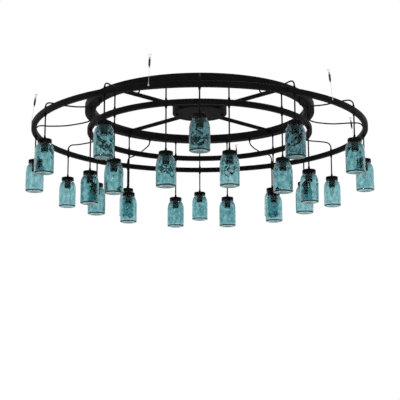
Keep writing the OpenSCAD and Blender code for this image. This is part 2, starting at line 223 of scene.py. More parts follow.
def newPiece(name, shape, materials, body, nodes, sharpAt=35):
    points, quads, tris = shape[:3]
    mesh = bpy.data.meshes.new(name)
    mesh.vertices.add(len(points))
    mesh.vertices.foreach_set("co", (points * mm).astype(np.float32).ravel())
    corners = np.concatenate([quads.ravel(), tris.ravel()])
    mesh.loops.add(len(corners))
    mesh.loops.foreach_set("vertex_index", corners.astype(np.int32))
    starts = np.concatenate([np.arange(len(quads)) * 4, len(quads) * 4 + np.arange(len(tris)) * 3])
    mesh.polygons.add(len(starts))
    mesh.polygons.foreach_set("loop_start", starts.astype(np.int32))
    for material in materials:
        mesh.materials.append(material)
    if len(shape) == 4:
        mesh.polygons.foreach_set("material_index", shape[3].astype(np.int32))
    mesh.update(calc_edges=True)
    mesh.shade_smooth()
    if sharpAt:
        mesh.set_sharp_from_angle(angle=math.radians(sharpAt))
    piece = bpy.data.objects.new(name, mesh)
    bpy.context.scene.collection.objects.link(piece)
    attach(piece, body)
    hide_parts(*nodes)
    return piece


def setAttribute(piece, name, values):
    # one number for each point of the mesh, which its material reads
    made = piece.data.attributes.new(name, "FLOAT", "POINT")
    made.data.foreach_set("value", values.astype(np.float32))


# Materials
def colour(code):
    # sRGB hex to the linear numbers that the shaders take
    parts = np.array([int(code[i : i + 2], 16) for i in (1, 3, 5)]) / 255
    linear = np.where(parts <= 0.04045, parts / 12.92, ((parts + 0.055) / 1.055) ** 2.4)
    return (*linear.tolist(), 1.0)


def addNode(owner, kind, settings=None, inputs=None):
    # one node in the owner's tree; an input is a value, or a socket that is linked to it
    tree = owner.id_data
    node = tree.nodes.new(kind)
    for name, value in (settings or {}).items():
        setattr(node, name, value)
    for name, value in (inputs or {}).items():
        if isinstance(value, bpy.types.NodeSocket):
            tree.links.new(value, node.inputs[name])
        else:
            node.inputs[name].default_value = value
    return node


def setInput(node, name, socket):
    node.id_data.links.new(socket, node.inputs[name])


def emptyTree(owner):
    owner.use_nodes = True
    owner.node_tree.nodes.clear()
    return owner.node_tree


def startMaterial(name, values):
    material = bpy.data.materials.new(name)
    tree = emptyTree(material)
    shader = addNode(tree, "ShaderNodeBsdfPrincipled", None, values)
    addNode(tree, "ShaderNodeOutputMaterial", None, {"Surface": shader.outputs[0]})
    place = addNode(tree, "ShaderNodeTexCoord").outputs["Object"]
    return material, shader, place


def noiseOf(place, size, detail, stretch=(1, 1, 1)):
    # noise with features about that many mm across
    mapped = addNode(place, "ShaderNodeMapping", None, {"Vector": place, "Scale": stretch}).outputs[0]
    inputs = {"Vector": mapped, "Scale": 1 / (size * mm), "Detail": detail}
    return addNode(place, "ShaderNodeTexNoise", None, inputs).outputs[0]


def cellsOf(place, size):
    # cells about that many mm apart
    return addNode(place, "ShaderNodeTexVoronoi", None, {"Vector": place, "Scale": 1 / (size * mm)})


def spread(value, low, high, start=0.3, end=0.7):
    # the value's range from start to end, spread over low to high
    inputs = {"Value": value, "From Min": start, "From Max": end, "To Min": low, "To Max": high}
    return addNode(value, "ShaderNodeMapRange", None, inputs).outputs[0]


def between(factor, first, second):
    # a mix of two colours, the first a hex code or a socket
    first = colour(first) if isinstance(first, str) else first
    inputs = {0: factor, 6: first, 7: colour(second)}
    return addNode(factor, "ShaderNodeMix", {"data_type": "RGBA"}, inputs).outputs[2]


def mixShaders(factor, first, second):
    inputs = {0: factor, 1: first.outputs[0], 2: second.outputs[0]}
    return addNode(factor, "ShaderNodeMixShader", None, inputs).outputs[0]


def attributeOf(shader, name):
    return addNode(shader, "ShaderNodeAttribute", {"attribute_name": name}).outputs["Fac"]


def outputOf(shader):
    return next(node for node in shader.id_data.nodes if node.type == "OUTPUT_MATERIAL")


def paint(shader, patches, first, second):
    # the colour follows the patches
    setInput(shader, "Base Color", between(spread(patches, 0, 1), first, second))


def roughen(shader, value, low, high, start=0.3, end=0.7):
    setInput(shader, "Roughness", spread(value, low, high, start, end))


def patchyMaterial(name, values, look, colours):
    # colour and roughness change together in soft patches
    material, shader, place = startMaterial(name, values)
    patches = noiseOf(place, *look["patch"], look.get("stretch", (1, 1, 1)))
    paint(shader, patches, *colours)
    roughen(shader, patches, *look["rough"])
    return material, shader, place


def blackMaterial(name, look):
    # black and nearly without a mirror, as the photo's soft light shows it; its skin has a fine relief
    values = {"Specular IOR Level": 0.03}
    material, shader, place = patchyMaterial(name, values, look, look["colours"])
    *grain, depth = look["grain"]
    setRelief(shader, noiseOf(place, *grain), depth)
    return material


def setRelief(shader, height, depth, below=None):
    # relief that many mm deep, on top of another relief if there is one
    inputs = {"Height": height, "Distance": depth * mm, "Strength": 1.0}
    if below:
        inputs["Normal"] = below
    bump = addNode(shader, "ShaderNodeBump", None, inputs).outputs[0]
    setInput(shader, "Normal", bump)
    return bump


# Powder coat baked on steel tube: a soft black satin with a faint orange peel.
# The real peel is about 1 mm; it is drawn 3 mm across so that it shows.
powderCoat = {
    "colours": ["#0a0a0a", "#131212"],
    "patch": (45, 3),  # size and detail
    "rough": (0.5, 0.62),
    "grain": (3.0, 1, 0.05),  # size, detail and depth
}

# Stamped tinplate under black lacquer: smoother than the rings, with slightly duller worn patches.
lidPaint = {
    "colours": ["#080808", "#0e0d0d"],
    "patch": (9, 4),
    "rough": (0.36, 0.5),
    "grain": (2.0, 1, 0.03),
}

# Injection-moulded nylon with a fine spark-eroded grain, which spreads its highlights.
# The grain is drawn 1.4 mm across so that it shows.
nylon = {
    "colours": ["#0a0a0a", "#100f0f"],
    "patch": (1.4, 3),
    "rough": (0.38, 0.55),
    "grain": (1.4, 3, 0.06),
}

# Extruded vinyl cord sheath: even brownish black with a dull gloss, and long faint marks from the die.
sheath = {
    "colours": ["#0f0d0d", "#171414"],
    "patch": (7, 3),
    "stretch": (1, 1, 0.25),
    "rough": (0.45, 0.6),
    "grain": (1.5, 1, 0.03),
}


glass = {
    # colour of a wall where it is thin and where it is dense, for each of three batches of jars
    "pale": ["#f6ffff", "#b2c9ce"],
    "deep": ["#e9f8f8", "#98b9be"],
    "smoky": ["#d4e3e4", "#7e9a9f"],
    "paintedLightTone": "#26363c",  # painted shade: the heel's dark line, darkened in the glass's tint
    "paintedHighlight": "#fbffff",  # painted highlight: the wall just above the heel, lightened to stand in for the glints of the lamps in it
    # bands in mm: how far in from the wall they reach, their height above the bottom, and their width
    "heelBand": (9, 1.4, 3.6),
    "highlightBand": (3.2, 10, 3.0),
    "highlightShare": 0.9,
    "neckFrom": 124,
    "neckFade": 14,
    "neckShadeShare": 0.3,  # painted shade: the threaded neck darkened as if by the black lid seen in it
    # jars of the pale and the smoky batch, by their number on each ring; the others are deep
    "paleJars": {"outer": [4, 5, 6, 8, 9, 10], "inner": [1, 3, 4, 5, 8]},
    "smokyJars": {"outer": [1, 2], "inner": []},
    "ior": 1.52,
    "mirror": "#747474",
    "swirl": 17,
    "wave": 7,
    "waveDepth": 0.11,
    "hammer": 3.6,
    "hammerDepth": 0.02,
    "seed": 6.0,
    "seedDepth": 0.08,
    "stipple": 0.12,  # roughness of the underside
    "depth": "#80d2d6",
    "density": 215,
}


def pressedAquaGlass(name, thin, dense):
    # Old pressed soda-lime glass, aqua from iron in the sand: wavy walls that bend what is behind them,
    # denser streaks, and seeds, the small bubbles of an old melt.
    values = {"Transmission Weight": 1.0, "IOR": glass["ior"], "Roughness": 0.0}
    values["Specular Tint"] = colour(glass["mirror"])
    material, shader, place = startMaterial(name, values)
    swirl = noiseOf(place, glass["swirl"], 3, (1, 1, 0.6))
    tint = between(spread(swirl, 0, 1), thin, dense)
    # painted shade and painted highlight: where the shade attribute is above 0 the tint darkens (heel and
    # neck), and where it is below 0 it lightens (the wall just above the heel)
    band = attributeOf(shader, "shade")
    tint = between(spread(band, 0, 1, 0, 1), tint, glass["paintedLightTone"])
    tint = between(spread(band, 0, 1, 0, -1), tint, glass["paintedHighlight"])
    setInput(shader, "Base Color", tint)
    wave = noiseOf(place, glass["wave"], 2, (1, 1, 0.6))
    bubble = spread(cellsOf(place, glass["seed"]).outputs["Distance"], 1, 0, 0.05, 0.16)
    first = setRelief(shader, wave, glass["waveDepth"])
    hammered = noiseOf(place, glass["hammer"], 1)
    second = setRelief(shader, hammered, glass["hammerDepth"], first)
    setRelief(shader, bubble, glass["seedDepth"], second)
    # the underside is left stippled by its mould plate, so it is the one dull part
    roughen(shader, attributeOf(shader, "stipple"), 0, glass["stipple"], 0, 1)
    depth = {"Color": colour(glass["depth"]), "Density": glass["density"]}
    inside = addNode(shader, "ShaderNodeVolumeAbsorption", None, depth)
    setInput(outputOf(shader), "Volume", inside.outputs[0])
    return material


clearGlass = {"tint": "#fbfdfd", "mirrorRoughness": 0.03, "edgeIOR": 1.06}


def clearLampGlass():
    # Thin blown lamp glass: clear face on, and a mirror of the room where it turns away.
    material = bpy.data.materials.new("clearLampGlass")
    tree = emptyTree(material)
    clear = addNode(tree, "ShaderNodeBsdfTransparent", None, {"Color": colour(clearGlass["tint"])})
    gloss = {"Color": (1, 1, 1, 1), "Roughness": clearGlass["mirrorRoughness"]}
    mirror = addNode(tree, "ShaderNodeBsdfGlossy", None, gloss)
    # lower than real glass, because the bulbs are only just seen in the photo
    edge = addNode(tree, "ShaderNodeFresnel", None, {"IOR": clearGlass["edgeIOR"]})
    mixed = mixShaders(edge.outputs[0], clear, mirror)
    addNode(tree, "ShaderNodeOutputMaterial", None, {"Surface": mixed})
    return material


# colour, least and most roughness, and distance between lines
drawn = {
    "galvanisedSteelWire": ("#b3b6b8", 0.26, 0.42, 2),
    "tungstenWire": ("#857d72", 0.27, 0.43, 2),
    "lacqueredBrass": ("#b9975a", 0.22, 0.38, 4),
}


def drawnMetal(name):
    # Drawn metal wire or turned bar: fine lines from the die or the tool, along which the gloss is drawn out.
    code, low, high, apart = drawn[name]
    material, shader, place = startMaterial(name, {"Base Color": colour(code), "Metallic": 1.0})
    lines = noiseOf(place, apart, 2, (1, 1, 0.15))
    roughen(shader, lines, low, high)
    setRelief(shader, lines, 0.02)
    return material


bronze = {
    "dipped": ["#1f1713", "#3d2e25"],
    "rubbed": ["#8d7566", "#b39c8b"],
    "patch": (6, 3),
    "rough": (0.42, 0.28),
    "lines": 0.8,
    "lineDepth": 0.02,
}


def patinatedBronze(name, colours):
    # Turned bronze darkened in a bath and rubbed back: brown in the hollows, brighter where it is handled.
    material, shader, place = patchyMaterial(name, {"Metallic": 1.0}, bronze, colours)
    setRelief(shader, noiseOf(place, bronze["lines"], 1, (1, 1, 6)), bronze["lineDepth"])
    return material


# White stove enamel, smooth and faintly warm: the small ceiling couplers vanish against a white ceiling.
enamel = {"colours": ["#f4f3f1", "#fbfbfa"], "patch": (5, 2), "rough": (0.2, 0.3)}

zinc = {"colours": ["#9b9ea1", "#c4c6c8"], "spangle": 7, "rough": (0.28, 0.45)}


def zincPlatedSteel():
    # Zinc-plated strip: pale grey metal whose crystals catch the light in patches.
    material, shader, place = startMaterial("zincPlatedSteel", {"Metallic": 1.0})
    cells = cellsOf(place, zinc["spangle"]).outputs["Color"]
    shade = addNode(cells, "ShaderNodeSeparateColor", None, {0: cells}).outputs[0]
    setInput(shader, "Base Color", between(shade, *zinc["colours"]))
    roughen(shader, shade, *zinc["rough"], 0, 1)
    return material


# painted reflection: the barrel's grey and its lighter clouds stand in for the gloss of a black socket; the
# mouth keeps its own black
phenolic = {"barrel": "#353d3e", "paintedLightTone": "#687474", "mouth": "#060606", "cloud": 12, "rough": (0.3, 0.5)}


def mouldedPhenolic():
    # Moulded black phenolic lamp socket: a barrel painted cloudy grey as a painted reflection of its gloss,
    # and a black mouth.
    material, shader, place = startMaterial("mouldedPhenolic", {"Specular IOR Level": 0.3})
    cloud = noiseOf(place, phenolic["cloud"], 3)
    barrel = between(spread(cloud, 0, 1), phenolic["barrel"], phenolic["paintedLightTone"])
    tint = between(attributeOf(shader, "mouth"), barrel, phenolic["mouth"])
    setInput(shader, "Base Color", tint)
    roughen(shader, cloud, *phenolic["rough"])
    setRelief(shader, cloud, 0.03)
    return material


greyPhenolic = mouldedPhenolic()
blackSteel = blackMaterial("powderCoatedSteel", powderCoat)
blackLid = blackMaterial("paintedTinplate", lidPaint)
blackNylon = blackMaterial("mouldedNylon", nylon)
cordSheath = blackMaterial("extrudedVinyl", sheath)
batches = {
    batch: pressedAquaGlass(f"pressed{batch.title()}AquaGlass", *glass[batch])
    for batch in ("pale", "deep", "smoky")
}
lampGlass = clearLampGlass()
zincSteel = zincPlatedSteel()
whitePaint = patchyMaterial("whiteEnamel", {"Specular IOR Level": 0.4}, enamel, enamel["colours"])[0]
brownBronze = patinatedBronze("patinatedBronze", bronze["dipped"])
paleBronze = patinatedBronze("rubbedBronze", bronze["rubbed"])
steelWire, tungstenWire, lampBrass = (drawnMetal(name) for name in drawn)
print("materials made")


# Free cords
cords = {
    "radius": 3.8,
    "points": 36,
    "intoRelief": 18.2,  # height above the cap's top where a pendant's cord ends in its strain relief
    # Routes from the ceiling ring's grips out to the outer ring's: shares of the way out and of the way down
    "start": [603, -69],
    "end": [903, -129],
    "low": [
        [0, 0], [0.01, 0.155], [0.037, 0.27], [0.09, 0.355], [0.19, 0.47], [0.45, 0.67],
        [0.75, 0.71], [0.9, 0.66], [0.96, 0.71], [0.99, 0.835], [1, 1],
    ],
    "high": [
        [0, 0], [0.01, 0.155], [0.037, 0.27], [0.09, 0.355], [0.19, 0.46], [0.45, 0.56],
        [0.757, 0.484], [0.92, 0.5], [0.982, 0.7], [1, 1],
    ],
}


def smoothRoute(route, count):
    # Catmull-Rom curve through the route's points, upright at both ends, resampled at even steps
    route = np.asarray(route, float)
    ends = np.linalg.norm(route[[1, -1]] - route[[0, -2]], axis=1)
    line = np.vstack([route[0] + [0, ends[0]], route, route[-1] - [0, ends[1]]])
    knots = np.concatenate([[0], np.cumsum(np.sqrt(np.linalg.norm(np.diff(line, axis=0), axis=1)))])
    slope = (line[2:] - line[:-2]) / (knots[2:] - knots[:-2])[:, None]
    slope[[0, -1]] = [[0, -1.0]] * np.linalg.norm(slope[[0, -1]], axis=1)[:, None]
    at = np.linspace(knots[1], knots[-2], 400)
    knots = knots[1:-1]
    span = np.clip(np.searchsorted(knots, at, side="right") - 1, 0, len(route) - 2)
    width = (knots[span + 1] - knots[span])[:, None]
    t = (at - knots[span])[:, None] / width
    fine = (
        (2 * t**3 - 3 * t**2 + 1) * route[span]
        + (t**3 - 2 * t**2 + t) * width * slope[span]
        + (3 * t**2 - 2 * t**3) * route[span + 1]
        + (t**3 - t**2) * width * slope[span + 1]
    )
    run = np.concatenate([[0], np.cumsum(np.linalg.norm(np.diff(fine, axis=0), axis=1))])
    even = np.linspace(0, run[-1], count)
    return np.stack([np.interp(even, run, fine[:, i]) for i in (0, 1)], 1)


def aroundMiddle(line, turn):
    # (r, z) at an angle from the viewer's side becomes (r sin a, -r cos a, z)
    a = math.radians(turn)
    return np.stack([line[:, 0] * math.sin(a), -line[:, 0] * math.cos(a), line[:, 1]], 1)


def newCord(name, path, body, node, sizes=None):
    curve = bpy.data.curves.new(name, "CURVE")
    curve.dimensions = "3D"
    curve.bevel_depth = cords["radius"] * mm
    curve.bevel_resolution = 3
    curve.use_fill_caps = True
    spline = curve.splines.new("POLY")
    spline.points.add(len(path) - 1)
    spline.points.foreach_set("co", np.column_stack([path * mm, np.ones(len(path))]).ravel())
    if sizes is not None:
        spline.points.foreach_set("radius", sizes)
    spline.use_smooth = True
    curve.materials.append(cordSheath)
    piece = bpy.data.objects.new(name, curve)
    bpy.context.scene.collection.objects.link(piece)
    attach(piece, body)
    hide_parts(node)


for i in range(pendantCount):
    shares = np.array(cords["high"] if 0 < i < 6 else cords["low"])
    route = cords["start"] + shares * np.subtract(cords["end"], cords["start"])
    path = aroundMiddle(smoothRoute(route, cords["points"]), turnOf("outer", i))
    newCord(f"supplyCord{i + 1:02d}", path, "frame", "supply_cords")
straight = {"top": -69.1, "low": -124.9, "points": 15}
for i in range(pendantCount):
    line = wallOf(rings["inner"]["radius"], straight["top"], straight["low"], straight["points"])
    path = aroundMiddle(line, turnOf("inner", i))
    newCord(f"innerRingCord{i + 1:02d}", path, "frame", "inner_ring_cords")
for kind, ring in rings.items():
    # The cord's upper end is rounded like a ball about the pivot, so that it can turn under its grip.
    share = np.linspace(1, 0, 6)
    straightPart = np.linspace(ring["pivot"], ring["capTop"] + cords["intoRelief"], 16)[1:]
    heights = np.concatenate([ring["pivot"] + cords["radius"] * share, straightPart])
    sizes = np.concatenate([np.sqrt(1 - share**2).clip(0.05), np.ones(len(straightPart))])
    line = np.stack([np.full(len(heights), ring["radius"]), heights], 1)
    for i in range(pendantCount):
        path = aroundMiddle(line, turnOf(kind, i))
        body, node, _ = pendantNames(kind, i)
        newCord(f"{kind}PendantCord{i + 1:02d}", path, body, node, sizes)
print("cords laid")


# Jars
jar = {
    "height": 176.5,
    "radius": 49.3,
    "wall": 3.0,
    "rimRadius": 35.0,
    "neck": -20.1,  # lower end of the cap, where the neck starts
    "beadRadius": 35.5,
    "neckHeight": 9.0,
    "shoulder": 46.0,
    "corner": 7.0,
    "pushUp": 4.5,  # rise of the underside's middle
    "pushUpRadius": 38.5,
    "stippleRadius": 42.6,
    "floor": 4.0,
    "steps": 96,
    "threadDepth": 0.6,
    "threadPitch": 6.0,
    "seam": 0.35,  # mould seam, proud of the wall around it
    "waveIn": 0.3,  # waviness of the inner wall
    "waveOut": 0.12,
    # waves round the wall and up it: (waves in a turn, mm from crest to crest, share)
    "waves": [(3, 47, 0.30), (6, -33, 0.24), (10, 26, 0.18), (15, -19, 0.12), (20, 15, 0.09), (8, 12, 0.07)],
}


def pushUpAt(r):
    # height of the underside's push-up: half a cosine wave from its middle out to pushUpRadius
    return jar["pushUp"] * (np.cos(np.clip(r / jar["pushUpRadius"], 0, 1) * math.pi) + 1) / 2


def jarProfile():
    # the outline from the middle of the underside, out, up, over the rim and down inside to the floor
    low, r, wall = -jar["height"], jar["radius"], jar["wall"]
    neckLow, waist = jar["neck"] - jar["neckHeight"], jar["beadRadius"] - 0.8
    shoulderLow = neckLow - jar["shoulder"]
    innerNeck, innerR = jar["rimRadius"] - wall, r - wall
    a = np.linspace(0, 1, 22)[:, None] * math.pi / 2
    fall = neckLow - jar["shoulder"] * (1 - np.cos(a))
    shoulderOut = np.hstack([waist + (r - waist) * np.sin(a), fall])[::-1]
    shoulderIn = np.hstack([innerNeck + (innerR - innerNeck) * np.sin(a), fall])
    under = np.linspace(0, jar["pushUpRadius"], 7)[:, None]
    pushUp = np.hstack([under, low + pushUpAt(under)])
    corner = jar["corner"]
    heel = arcOf(r - corner, low + corner, corner, -90, 0, 9)
    innerCorner = corner - 2.5
    floorZ = low + jar["floor"]
    cove = arcOf(innerR - innerCorner, floorZ + innerCorner, innerCorner, 0, -90, 9)
    # the floor keeps an even thickness over the push-up
    over = np.linspace(1, 0, 9)[1:, None] * (innerR - innerCorner)
    dome = np.hstack([over, floorZ + pushUpAt(over)])
    neck, rim = jar["neck"], -1.3
    return lineOf(
        pushUp,
        heel,
        wallOf(r, low + corner, low + 26, 10)[1:],
        wallOf(r, low + 26, shoulderLow, 22)[1:-1],
        shoulderOut,
        [[waist, neckLow + 3], [waist, neck - 5.5], [waist + 0.5, neck - 4.8], [waist + 0.8, neck - 3.6]],
        [[waist + 0.8, neck - 1.6], [waist + 0.6, neck - 0.6], [waist, neck - 0.2]],
        wallOf(jar["rimRadius"] - 0.9, neck, rim - 3, 16),
        arcOf(jar["rimRadius"] - 1.5, rim - 1.5, 1.5, 0, 180, 8),
        wallOf(innerNeck, rim - 3, neckLow + 2, 8),
        shoulderIn,
        wallOf(innerR, shoulderLow, floorZ + innerCorner, 24)[1:-1],
        cove,
        dome,
    )


def jarShape(number):
    # Each jar has its own waves: its walls move by up to waveIn or waveOut,
    # as a sum of sines of the angle and the height.
    phase = number * 2.4
    profile = jarProfile()
    inside = np.arange(len(profile)) > np.argmax(profile[:, 1])

    def carve(r, z, a):
        inner = inside[1:-1][:, None]
        wave = sum(
            share * np.sin(turns * a + fullTurn * z / pitch + phase * (1 + k))
            for k, (turns, pitch, share) in enumerate(jar["waves"])
        )
        body = np.clip((jar["neck"] - z) / 20, 0, 1) * np.clip((z + jar["height"] - 1) / 12, 0, 1)
        seam = jar["seam"] * np.exp(-(((np.sin(a + phase)) * r / 0.9) ** 2)) * body
        turnHere = (z - jar["neck"]) / jar["threadPitch"] - a / fullTurn
        thread = jar["threadDepth"] * ripple(fullTurn, turnHere) ** 2 * within(z, jar["neck"] + 1, -3.5, 2)
        outerR = r - jar["seam"] * body - jar["waveOut"] * (1 - wave) / 2 * body + seam + thread
        innerR = r - jar["waveIn"] * wave * body
        return np.where(inner, innerR, outerR), z

    return lathe(profile, jar["steps"], carve=carve)


def bandAt(across, height, band):
    # 1 in the middle of a band of the outer wall, falling off above and below it
    deep, middle, width = band
    return (across > jar["radius"] - deep) * np.exp(-(((height - middle) / width) ** 2))


def batchOf(kind, number):
    if number in glass["paleJars"][kind]:
        return batches["pale"]
    if number in glass["smokyJars"][kind]:
        return batches["smoky"]
    return batches["deep"]


for number, (kind, i) in enumerate(pendants, 1):
    body, _, node = pendantNames(kind, i)
    local = jarShape(number)
    name, shape = f"{kind}Jar{i + 1:02d}", hung(local, kind, i)
    piece = newPiece(name, shape, [batchOf(kind, i + 1)], body, [node], None)
    # the underside: below the push-up's own line, and inside the heel
    across, height = np.hypot(local[0][:, 0], local[0][:, 1]), local[0][:, 2] + jar["height"]
    setAttribute(piece, "stipple", (height < pushUpAt(across) + 0.3) * (across < jar["stippleRadius"]))
    # 1 round the heel's outer curve (painted shade), less than 0 in the wall above it (painted highlight),
    # and a little in the threaded neck (painted shade)
    dark, thin = bandAt(across, height, glass["heelBand"]), bandAt(across, height, glass["highlightBand"])
    neck = np.clip((height - glass["neckFrom"]) / glass["neckFade"], 0, 1)
    setAttribute(piece, "shade", dark - glass["highlightShare"] * thin + glass["neckShadeShare"] * neck)
print("jars made")


# Lampholders: lid, strain relief, socket and lamp of each pendant
lid = {"radius": 36.5, "height": 20.0, "sheet": 1.2, "ribs": 60, "ribDepth": 0.35}


def lidShape():
    # stamped lid: flat top with a low raised panel, rounded edge, a knurled band between two beads,
    # flared and rolled lower edge
    r, h, t = lid["radius"], lid["height"], lid["sheet"]
    outside = lineOf(
        [[7.2, -0.5], [12, -0.5], [13, 0], [25, 0], [26, -0.5], [29.5, -0.5]],
        arcOf(r - 3.9, -3.4, 2.9, 80, 5, 6),
        [[r - 0.9, -5.2], [r - 0.5, -6], [r - 1.1, -6.8]],
        wallOf(r - 0.9, -7.4, -14.2, 5),
        [[r - 1.1, -14.8], [r - 0.6, -15.6], [r - 0.9, -16.6]],
        arcOf(r - 1.0, -h + 1.0, 1.0, 60, -90, 7),
    )
    inside = lineOf(
        [[r - t, -h + 0.4], [r - t - 0.4, -h + 3], [r - t - 0.7, -3.2]],
        [[r - 4.5, -t - 0.5], [7.2, -t - 0.5]],
    )
    line = lineOf(inside[::-1], outside[::-1])

    def knurl(radius, z, a):
        band = within(z, -14.7, -6.9, 0.8) * (radius > r - 1.05)
        return radius - lid["ribDepth"] * band * ripple(lid["ribs"], a), z

    return lathe(line, 240, True, knurl)


def reliefShape():
    # tapered strain relief with a nut below and six flexing grooves
    z = np.linspace(3.4, 17.6, 27)
    r = 7.2 - 2.2 * (z - 3.4) / 14.2 - flexGrooves(z, 4.2, 17, 0.45, 0.26)
    nut = [[0, -1.2], [7, -1.2], [7.8, -0.5], [8, 0.2], [8, 2.6], [7.6, 3.2]]
    return lathe(lineOf(nut, np.column_stack([r, z]), [4.8, 18.0], [0, 18.0]), 32)


socket = {"radius": 18.0, "low": -65.0, "lip": 15.0, "ribs": 36}


def socketShape():
    # phenolic lamp socket: a ribbed lower barrel with a rolled mouth, and a plain upper shell
    r, low = socket["radius"], socket["low"]
    line = lineOf(
        [0, low + 9],
        [13.6, low + 9],
        [13.6, low + 1.2],
        arcOf(r - 1.6, low + 1.6, 1.6, 225, 360, 6),
        wallOf(r - 0.35, low + 3, low + 26, 16),
        [[r, low + 27], [r, low + 30], [r - 1.0, low + 31]],
        [[r - 1.0, low + 40], [r - 0.5, low + 41], [r - 0.5, -2.6], [r - 1.5, -1.8], [0, -1.8]],
    )

    def ribbed(radius, z, a):
        band = within(z, low + 3, low + 26, 1.5) * (radius > r - 0.4)
        return radius - 0.5 * band * ripple(socket["ribs"], a), z

    return lathe(line, 144, carve=ribbed)


lamp = {"radius": 14.0, "top": -65.1, "length": 40.0, "hairpins": 5}


def lampGlassShape():
    # clear lamp: a narrow neck that opens to a short round bulb
    r = lamp["radius"]
    widest = lamp["top"] - lamp["length"] + r
    bulb = arcOf(0, widest, r, -90, 0, 14)
    a = np.linspace(0, 1, 8)[:, None]
    neck = np.hstack([r - 3.0 * (1 - np.cos(a * math.pi)) / 2, widest + 4 + 14 * a])
    line = lineOf(bulb, [r, widest + 2], neck, [11.0, -65.3], [0, -65.2])
    line[0, 0] = 0
    return lathe(line, 40)


def filamentShapes():
    # the filament runs up and down between two rings of hooks: (r sin a, -r cos a, z) with z a zigzag of a
    turns = lamp["hairpins"]
    t = np.linspace(0, 1, turns * 16 + 1)
    a = t * fullTurn * 0.86  # with a gap left between its ends
    zig = np.abs(((t * turns) % 1) * 2 - 1)
    z = -81 - 15 * zig
    r = 5.2 + 1.3 * np.sin(zig * math.pi)
    wire = tubeAlong(np.column_stack([r * np.sin(a), -r * np.cos(a), z]), 0.3, 5)
    leads = [
        tubeAlong([[s * 1.3, 0, -74], [s * 1.8, 0, -78], [s * 4.2, -1.5, -80], [s * 5.2, -2.2, -83]], 0.35, 5)
        for s in (-1, 1)
    ]
    middle = tubeAlong([[0, 0, -81], [0, 0, -89], [0, 0, -95]], 0.3, 5)
    return [wire, middle, *leads]


lampMesh = lampGlassShape()
shellMesh = lathe([[0, -57], [12.2, -57], [12.2, -64.4], [11.6, -64.9], [0, -64.9]], 24)
holder = joined(
    (lidShape(), 0),
    (reliefShape(), 1),
    (socketShape(), 4),
    (shellMesh, 2),
    *[(shape, 3) for shape in filamentShapes()],
)
holderMaterials = [blackLid, blackNylon, lampBrass, tungstenWire, greyPhenolic]
# the black mouth: everything below the lip's height, which takes in the recess
mouth = holder[0][:, 2] - socket["low"] < socket["lip"]
for kind, i in pendants:
    body, node, _ = pendantNames(kind, i)
    name, shape = f"{kind}Lampholder{i + 1:02d}", (*hung(holder[:3], kind, i), holder[3])
    piece = newPiece(name, shape, holderMaterials, body, [node])
    setAttribute(piece, "mouth", mouth)
    bulb = hung(lampMesh, kind, i)
    newPiece(f"{kind}Lamp{i + 1:02d}", bulb, [lampGlass], body, [node], None)
print("lampholders made")


# Rings, arms and canopy
tube = {
    "side": 27,
    "corner": 2.6,
    "steps": 360,
    "outer": {"radius": 916.5, "low": -171},
    "inner": {"radius": 616.5, "low": -167},
}


def squareLine(left, low, side, corner):
    # a square with rounded corners, anticlockwise
    right, top = left + side, low + side
    return lineOf(
        arcOf(right - corner, low + corner, corner, -90, 0, 5),
        arcOf(right - corner, top - corner, corner, 0, 90, 5),
        arcOf(left + corner, top - corner, corner, 90, 180, 5),
        arcOf(left + corner, low + corner, corner, 180, 270, 5),
    )


def framePiece(name, shape, node):
    newPiece(name, shape, [blackSteel], "frame", [node])


for name in ("outer", "inner"):
    place, side = tube[name], tube["side"]
    line = squareLine(place["radius"] - side, place["low"], side, tube["corner"])
    framePiece(name + "Ring", lathe(line, tube["steps"], True), name + "_ring")

channel = {"inner": 574.75, "outer": 631.25, "top": -12.5, "low": -54, "wall": 2.0, "corner": 2.8}


def channelLine():
    # a channel open at the top: outer face, outer wall's inside, floor, inner wall's inside, inner face
    inner, outer, top, low, wall, corner = channel.values()
    lip, cove = 0.7, 1.2
    return lineOf(
        arcOf(outer - corner, low + corner, corner, -90, 0, 6),
        arcOf(outer - lip, top - lip, lip, 0, 90, 2),
        arcOf(outer - wall + lip, top - lip, lip, 90, 180, 2),
        arcOf(outer - wall - cove, low + wall + cove, cove, 0, -90, 3),
        arcOf(inner + wall + cove, low + wall + cove, cove, 270, 180, 3),
        arcOf(inner + wall - lip, top - lip, lip, 0, 90, 2),
        arcOf(inner + lip, top - lip, lip, 90, 180, 2),
        arcOf(inner + corner, low + corner, corner, 180, 270, 6),
    )


framePiece("ceilingRing", lathe(channelLine(), tube["steps"], True), "ceiling_ring")

arm = {"side": 18, "corner": 2.0, "mid": -31.5, "start": 150.1, "end": 574.65, "steps": 12}
bead = {"radius": 1.5, "ripples": 22}


